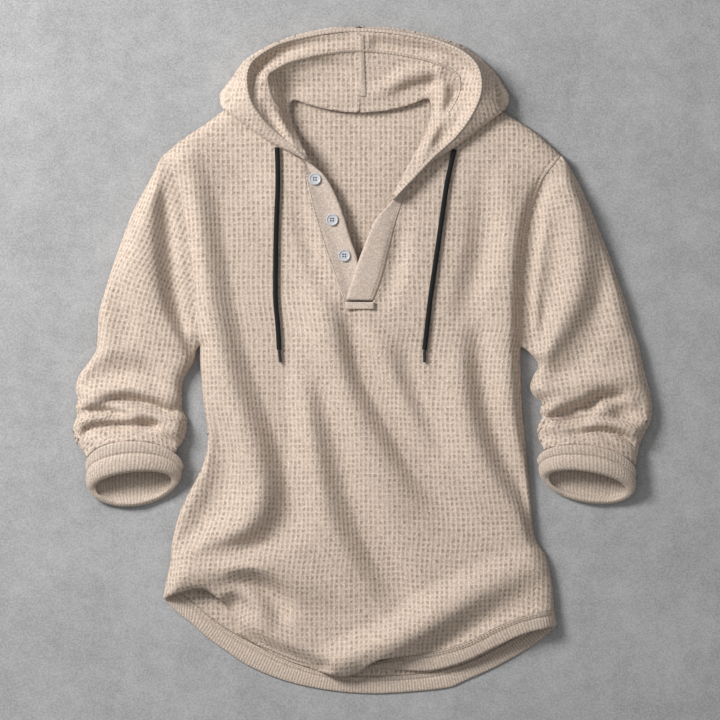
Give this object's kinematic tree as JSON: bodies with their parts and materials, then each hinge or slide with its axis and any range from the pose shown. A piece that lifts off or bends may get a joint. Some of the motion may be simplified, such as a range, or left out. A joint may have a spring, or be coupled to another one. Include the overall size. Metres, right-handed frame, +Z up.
{
  "type": "hoodie",
  "caption": "Waffle-knit pullover hoodie laid flat, with an open buttoned placket, drawcords, pushed-up sleeves with rolled ribbed cuffs and a curved ribbed hem.",
  "frame": {"origin": "on the resting surface under the middle of the body, level with its waist", "axes": "+Y from the hem to the hood, +X to the wearer's left as seen from above with the front up, +Z up out of the surface"},
  "size_m": [0.81, 0.933, 0.0481],
  "materials": {
    "waffle": "oatmeal waffle knit",
    "rib": "oatmeal rib knit",
    "twill": "plain twill",
    "button": "pearl grey, polished",
    "cord": "black braided cord",
    "tip": "dark gunmetal"
  },
  "bodies": {
    "root": {"back_panel": "waffle", "front_panel": "waffle", "sleeve_left": "waffle", "sleeve_right": "waffle", "hood_left": "waffle", "hood_right": "waffle", "hem_band_back": "rib", "hem_band_front": "rib", "cuff_left": "rib", "cuff_right": "rib", "placket_stand": "twill", "placket_strip": "twill", "placket_box": "twill", "button_1": "button", "button_2": "button", "button_3": "button", "drawcord_left": "cord", "drawcord_right": "cord", "aglet_left": "tip", "aglet_right": "tip"}
  },
  "joints": []
}
